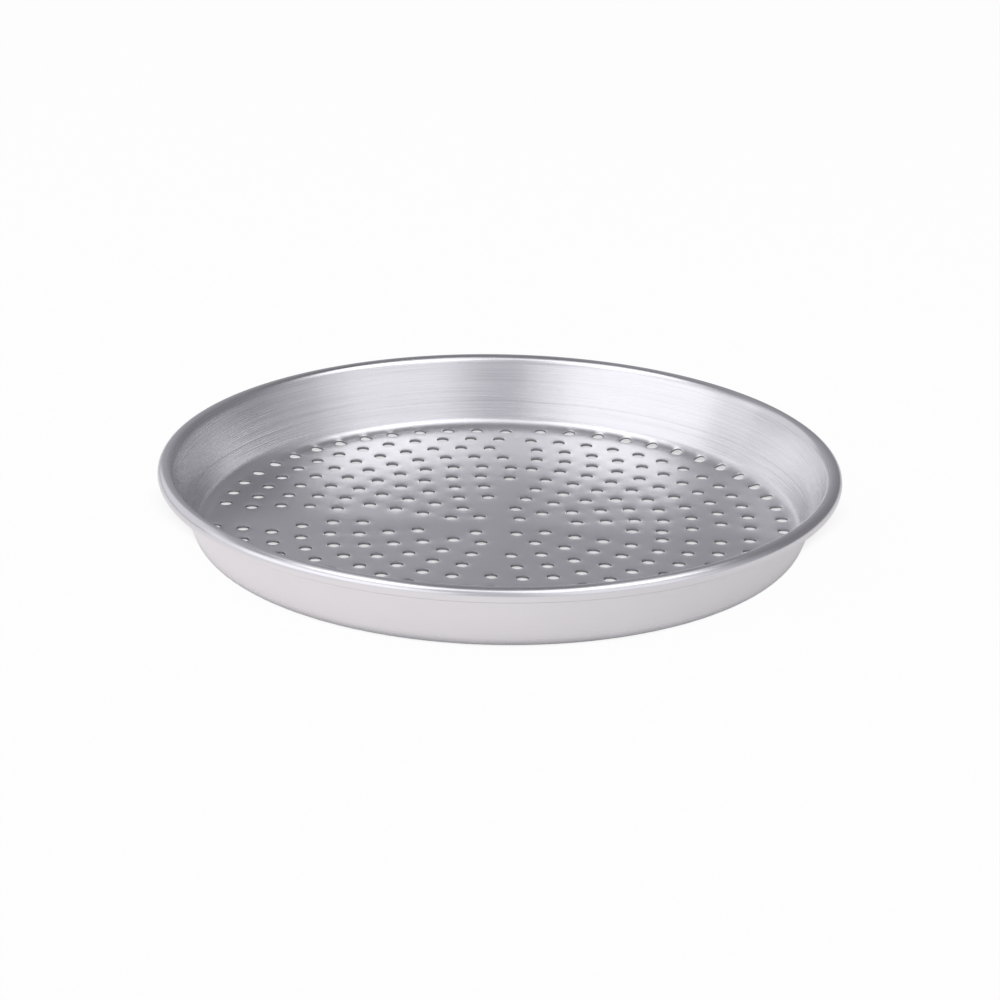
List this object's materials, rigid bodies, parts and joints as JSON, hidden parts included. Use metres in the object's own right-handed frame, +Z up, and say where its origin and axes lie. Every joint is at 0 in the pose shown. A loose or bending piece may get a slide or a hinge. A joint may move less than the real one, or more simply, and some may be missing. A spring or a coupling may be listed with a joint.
{
  "type": "perforated tart pan",
  "caption": "Round shallow baking pan of spun aluminium with a pierced flat floor, a plain flared wall and an edge rolled over a wire; bakes a crisp base.",
  "frame": {"origin": "middle of the pan's underside, on the pan axis", "axes": "+Z up along the pan axis, out of the open top; +X to the right and +Y away from the viewer in the pictured view"},
  "size_m": [0.3, 0.3, 0.0325],
  "materials": {
    "aluminium_sheet": "satin, with fine concentric spinning lines on the wall",
    "steel_wire": "plain drawn wire"
  },
  "bodies": {
    "root": {"pan_shell": "aluminium_sheet", "rim_wire": "steel_wire"}
  },
  "joints": []
}
